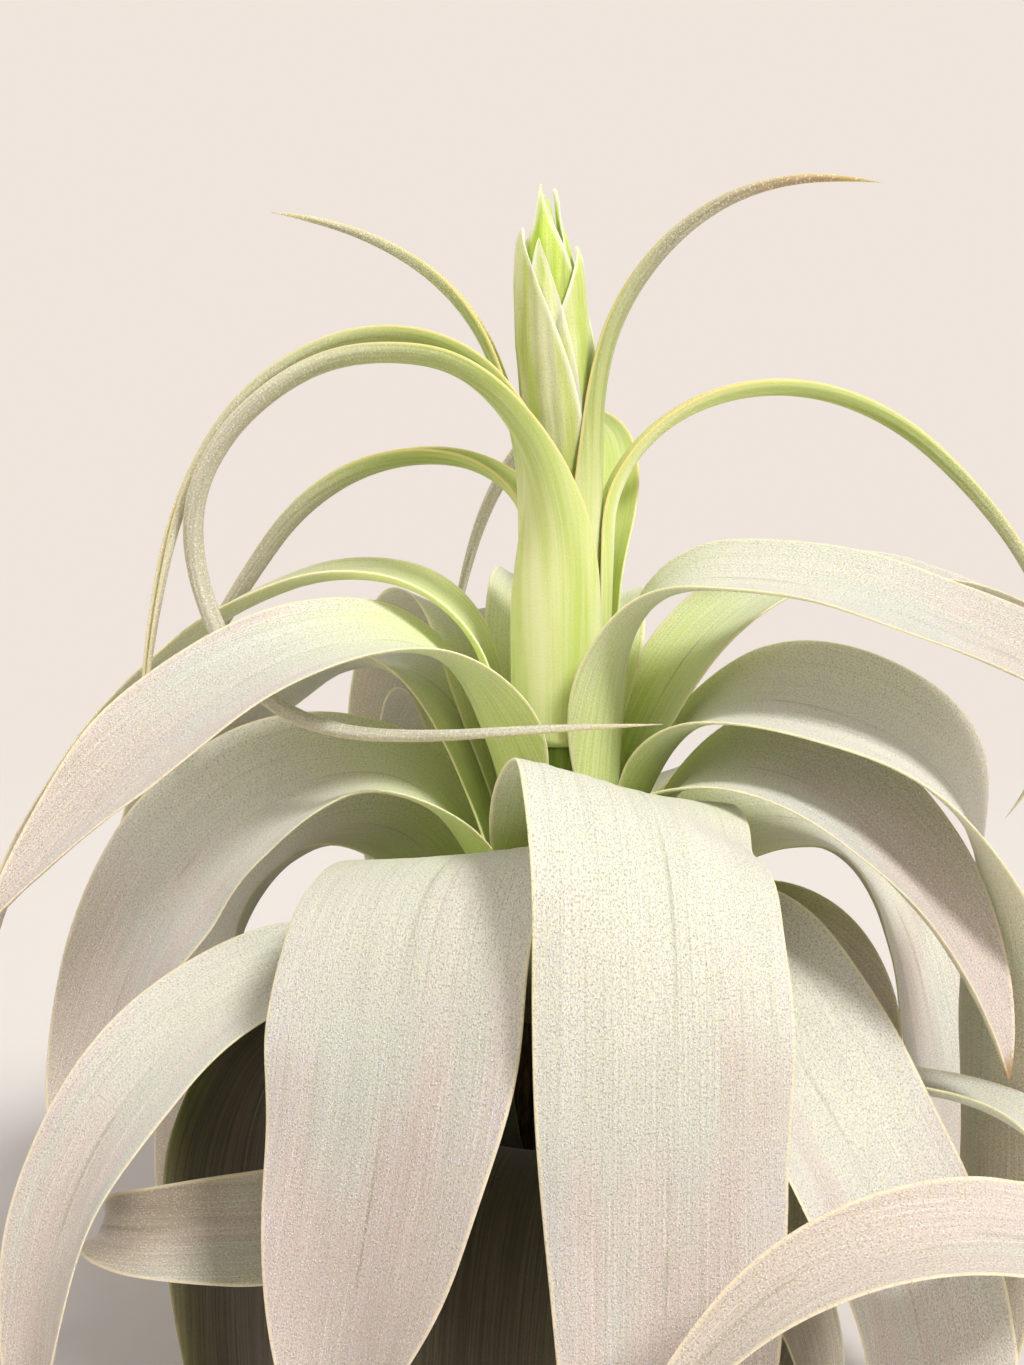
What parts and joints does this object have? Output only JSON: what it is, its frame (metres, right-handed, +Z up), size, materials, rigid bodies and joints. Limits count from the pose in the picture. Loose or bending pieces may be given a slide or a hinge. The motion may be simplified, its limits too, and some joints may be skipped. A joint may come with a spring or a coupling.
{
  "type": "air plant",
  "caption": "Air plant: a rosette of broad, arching silver leaves on a short hidden stem, with a green flower spike wrapped in bracts that end in long curling tendrils.",
  "frame": {"origin": "middle of the stem's flat foot, on the surface that the plant rests on", "axes": "+Z up along the stem and the flower spike, -Y to the front of the plant"},
  "size_m": [0.3115, 0.2911, 0.3125],
  "materials": {
    "stem": "dry, fibrous brown",
    "old_leaf": "matt grey-brown, frosted with fine silver scales",
    "leaf": "matt silver-grey, finely striped and frosted with silver scales, greener at the root",
    "bract": "satin yellow-green running out to silver-grey",
    "spike": "satin yellow-green with pale edges"
  },
  "bodies": {
    "root": {"stem": "stem", "spike": "spike", "foot_leaf_1": "old_leaf", "foot_leaf_2": "old_leaf", "foot_leaf_3": "old_leaf", "foot_leaf_4": "old_leaf", "foot_leaf_5": "old_leaf", "foot_leaf_6": "old_leaf", "foot_leaf_7": "old_leaf", "foot_leaf_8": "old_leaf", "foot_leaf_9": "old_leaf", "skirt_leaf_1": "old_leaf", "skirt_leaf_2": "old_leaf", "skirt_leaf_3": "old_leaf", "skirt_leaf_4": "old_leaf", "skirt_leaf_5": "old_leaf", "skirt_leaf_6": "old_leaf", "skirt_leaf_7": "old_leaf", "right_curl_leaf": "leaf", "ribbon_leaf": "leaf", "low_left_leaf": "leaf", "under_right_leaf": "leaf", "front_right_leaf": "leaf", "front_left_leaf": "leaf", "front_leaf": "leaf", "low_right_leaf": "leaf", "left_leaf": "leaf", "right_leaf": "leaf", "upper_right_leaf": "leaf", "inner_right_leaf": "leaf", "upper_left_leaf": "leaf", "slender_left_leaf": "leaf", "back_right_leaf": "leaf", "back_left_leaf": "leaf", "right_back_leaf": "leaf", "back_leaf": "leaf", "upper_back_leaf": "leaf", "upper_back_left_leaf": "leaf", "upper_back_right_leaf": "leaf", "back_left_bract": "bract", "curling_bract": "bract", "left_arch_bract": "bract", "right_arch_bract": "bract", "upper_right_bract": "bract", "upper_left_bract": "bract", "rear_arch_bract": "bract"}
  },
  "joints": []
}
